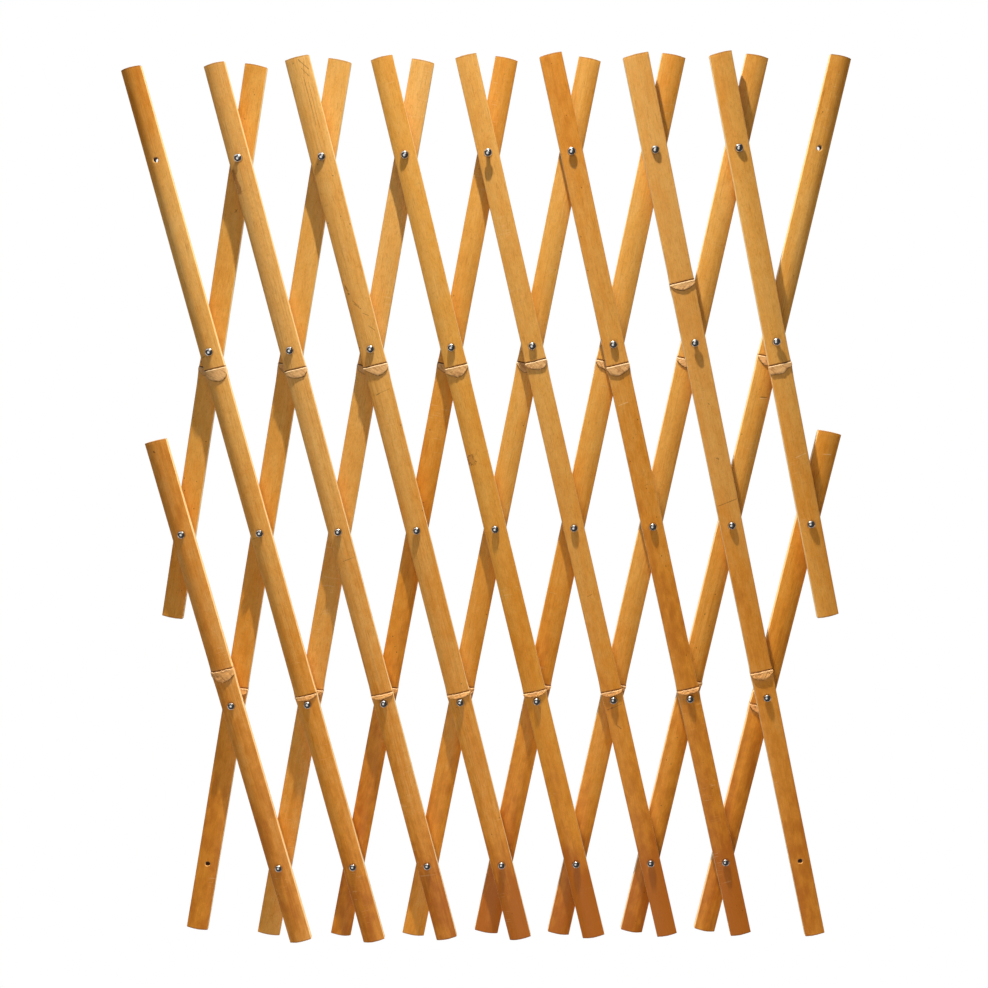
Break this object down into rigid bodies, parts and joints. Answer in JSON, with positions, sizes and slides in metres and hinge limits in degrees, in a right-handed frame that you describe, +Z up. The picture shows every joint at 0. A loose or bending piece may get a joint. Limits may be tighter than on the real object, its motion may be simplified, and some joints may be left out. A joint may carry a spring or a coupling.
{
  "type": "expandable trellis",
  "caption": "Expandable garden trellis: two layers of rounded bamboo slats, riveted where they cross, that fold sideways like scissors.",
  "frame": {"origin": "behind the middle rivet, on the wall plane that the rivet tails touch", "axes": "+Z up along the trellis, +X to the right seen from the front, +Y towards the wall behind it"},
  "size_m": [0.683, 0.0285, 0.894],
  "materials": {
    "front_bamboo": "satin",
    "rear_bamboo": "satin",
    "rivet_steel": "polished"
  },
  "bodies": {
    "centre_rivet": {"rivet_row_3_5": "rivet_steel"},
    "front_1": {"front_slat_1": "front_bamboo", "rivet_row_3_1": "rivet_steel", "rivet_row_4_1": "rivet_steel", "rivet_row_5_1": "rivet_steel"},
    "front_2": {"front_slat_2": "front_bamboo", "rivet_row_2_1": "rivet_steel", "rivet_row_3_2": "rivet_steel", "rivet_row_4_2": "rivet_steel", "rivet_row_5_2": "rivet_steel"},
    "front_3": {"front_slat_3": "front_bamboo", "rivet_row_1_1": "rivet_steel", "rivet_row_2_2": "rivet_steel", "rivet_row_3_3": "rivet_steel", "rivet_row_4_3": "rivet_steel", "rivet_row_5_3": "rivet_steel"},
    "front_4": {"front_slat_4": "front_bamboo", "rivet_row_1_2": "rivet_steel", "rivet_row_2_3": "rivet_steel", "rivet_row_3_4": "rivet_steel", "rivet_row_4_4": "rivet_steel", "rivet_row_5_4": "rivet_steel"},
    "front_5": {"front_slat_5": "front_bamboo", "rivet_row_1_3": "rivet_steel", "rivet_row_2_4": "rivet_steel", "rivet_row_4_5": "rivet_steel", "rivet_row_5_5": "rivet_steel"},
    "front_6": {"front_slat_6": "front_bamboo", "rivet_row_1_4": "rivet_steel", "rivet_row_2_5": "rivet_steel", "rivet_row_3_6": "rivet_steel", "rivet_row_4_6": "rivet_steel", "rivet_row_5_6": "rivet_steel"},
    "front_7": {"front_slat_7": "front_bamboo", "rivet_row_1_5": "rivet_steel", "rivet_row_2_6": "rivet_steel", "rivet_row_3_7": "rivet_steel", "rivet_row_4_7": "rivet_steel", "rivet_row_5_7": "rivet_steel"},
    "front_8": {"front_slat_8": "front_bamboo", "rivet_row_1_6": "rivet_steel", "rivet_row_2_7": "rivet_steel", "rivet_row_3_8": "rivet_steel", "rivet_row_4_8": "rivet_steel"},
    "front_9": {"front_slat_9": "front_bamboo", "rivet_row_1_7": "rivet_steel", "rivet_row_2_8": "rivet_steel", "rivet_row_3_9": "rivet_steel"},
    "rear_1": {"rear_slat_1": "rear_bamboo"},
    "rear_2": {"rear_slat_2": "rear_bamboo"},
    "rear_3": {"rear_slat_3": "rear_bamboo"},
    "rear_4": {"rear_slat_4": "rear_bamboo"},
    "rear_5": {"rear_slat_5": "rear_bamboo"},
    "rear_6": {"rear_slat_6": "rear_bamboo"},
    "rear_7": {"rear_slat_7": "rear_bamboo"},
    "rear_8": {"rear_slat_8": "rear_bamboo"},
    "rear_9": {"rear_slat_9": "rear_bamboo"}
  },
  "joints": [
    {"name": "lattice_opening", "type": "hinge", "parent": "centre_rivet", "child": "rear_5", "pos_m": [0, -0.0117, 0], "axis": [0, 1, 0], "range_deg": [-8.25, 23.75]},
    {"name": "front_1_pivot", "type": "hinge", "parent": "rear_3", "child": "front_1", "pos_m": [-0.23297, -0.0117, -0.35767], "axis": [0, 1, 0], "range_deg": [-47.5, 16.5]},
    {"name": "front_2_pivot", "type": "hinge", "parent": "rear_4", "child": "front_2", "pos_m": [-0.15531, -0.0117, -0.35767], "axis": [0, 1, 0], "range_deg": [-47.5, 16.5]},
    {"name": "front_3_pivot", "type": "hinge", "parent": "rear_5", "child": "front_3", "pos_m": [-0.07766, -0.0117, -0.35767], "axis": [0, 1, 0], "range_deg": [-47.5, 16.5]},
    {"name": "front_4_pivot", "type": "hinge", "parent": "rear_5", "child": "front_4", "pos_m": [-0.03883, -0.0117, -0.17883], "axis": [0, 1, 0], "range_deg": [-47.5, 16.5]},
    {"name": "front_5_pivot", "type": "hinge", "parent": "centre_rivet", "child": "front_5", "pos_m": [0, -0.0117, 0], "axis": [0, 1, 0], "range_deg": [-23.75, 8.25]},
    {"name": "front_6_pivot", "type": "hinge", "parent": "rear_5", "child": "front_6", "pos_m": [0.03883, -0.0117, 0.17883], "axis": [0, 1, 0], "range_deg": [-47.5, 16.5]},
    {"name": "front_7_pivot", "type": "hinge", "parent": "rear_5", "child": "front_7", "pos_m": [0.07766, -0.0117, 0.35767], "axis": [0, 1, 0], "range_deg": [-47.5, 16.5]},
    {"name": "front_8_pivot", "type": "hinge", "parent": "rear_6", "child": "front_8", "pos_m": [0.15531, -0.0117, 0.35767], "axis": [0, 1, 0], "range_deg": [-47.5, 16.5]},
    {"name": "front_9_pivot", "type": "hinge", "parent": "rear_7", "child": "front_9", "pos_m": [0.23297, -0.0117, 0.35767], "axis": [0, 1, 0], "range_deg": [-47.5, 16.5]},
    {"name": "rear_1_pivot", "type": "hinge", "parent": "front_3", "child": "rear_1", "pos_m": [-0.23297, -0.0117, 0.35767], "axis": [0, 1, 0], "range_deg": [-16.5, 47.5]},
    {"name": "rear_2_pivot", "type": "hinge", "parent": "front_4", "child": "rear_2", "pos_m": [-0.15531, -0.0117, 0.35767], "axis": [0, 1, 0], "range_deg": [-16.5, 47.5]},
    {"name": "rear_3_pivot", "type": "hinge", "parent": "front_5", "child": "rear_3", "pos_m": [-0.07766, -0.0117, 0.35767], "axis": [0, 1, 0], "range_deg": [-16.5, 47.5]},
    {"name": "rear_4_pivot", "type": "hinge", "parent": "front_5", "child": "rear_4", "pos_m": [-0.03883, -0.0117, 0.17883], "axis": [0, 1, 0], "range_deg": [-16.5, 47.5]},
    {"name": "rear_6_pivot", "type": "hinge", "parent": "front_5", "child": "rear_6", "pos_m": [0.03883, -0.0117, -0.17883], "axis": [0, 1, 0], "range_deg": [-16.5, 47.5]},
    {"name": "rear_7_pivot", "type": "hinge", "parent": "front_5", "child": "rear_7", "pos_m": [0.07766, -0.0117, -0.35767], "axis": [0, 1, 0], "range_deg": [-16.5, 47.5]},
    {"name": "rear_8_pivot", "type": "hinge", "parent": "front_6", "child": "rear_8", "pos_m": [0.15531, -0.0117, -0.35767], "axis": [0, 1, 0], "range_deg": [-16.5, 47.5]},
    {"name": "rear_9_pivot", "type": "hinge", "parent": "front_7", "child": "rear_9", "pos_m": [0.23297, -0.0117, -0.35767], "axis": [0, 1, 0], "range_deg": [-16.5, 47.5]}
  ],
  "couplings": [
    {"joint": "front_1_pivot", "follows": "lattice_opening", "ratio": -2},
    {"joint": "front_2_pivot", "follows": "lattice_opening", "ratio": -2},
    {"joint": "front_3_pivot", "follows": "lattice_opening", "ratio": -2},
    {"joint": "front_4_pivot", "follows": "lattice_opening", "ratio": -2},
    {"joint": "front_5_pivot", "follows": "lattice_opening", "ratio": -1},
    {"joint": "front_6_pivot", "follows": "lattice_opening", "ratio": -2},
    {"joint": "front_7_pivot", "follows": "lattice_opening", "ratio": -2},
    {"joint": "front_8_pivot", "follows": "lattice_opening", "ratio": -2},
    {"joint": "front_9_pivot", "follows": "lattice_opening", "ratio": -2},
    {"joint": "rear_1_pivot", "follows": "lattice_opening", "ratio": 2},
    {"joint": "rear_2_pivot", "follows": "lattice_opening", "ratio": 2},
    {"joint": "rear_3_pivot", "follows": "lattice_opening", "ratio": 2},
    {"joint": "rear_4_pivot", "follows": "lattice_opening", "ratio": 2},
    {"joint": "rear_6_pivot", "follows": "lattice_opening", "ratio": 2},
    {"joint": "rear_7_pivot", "follows": "lattice_opening", "ratio": 2},
    {"joint": "rear_8_pivot", "follows": "lattice_opening", "ratio": 2},
    {"joint": "rear_9_pivot", "follows": "lattice_opening", "ratio": 2}
  ]
}
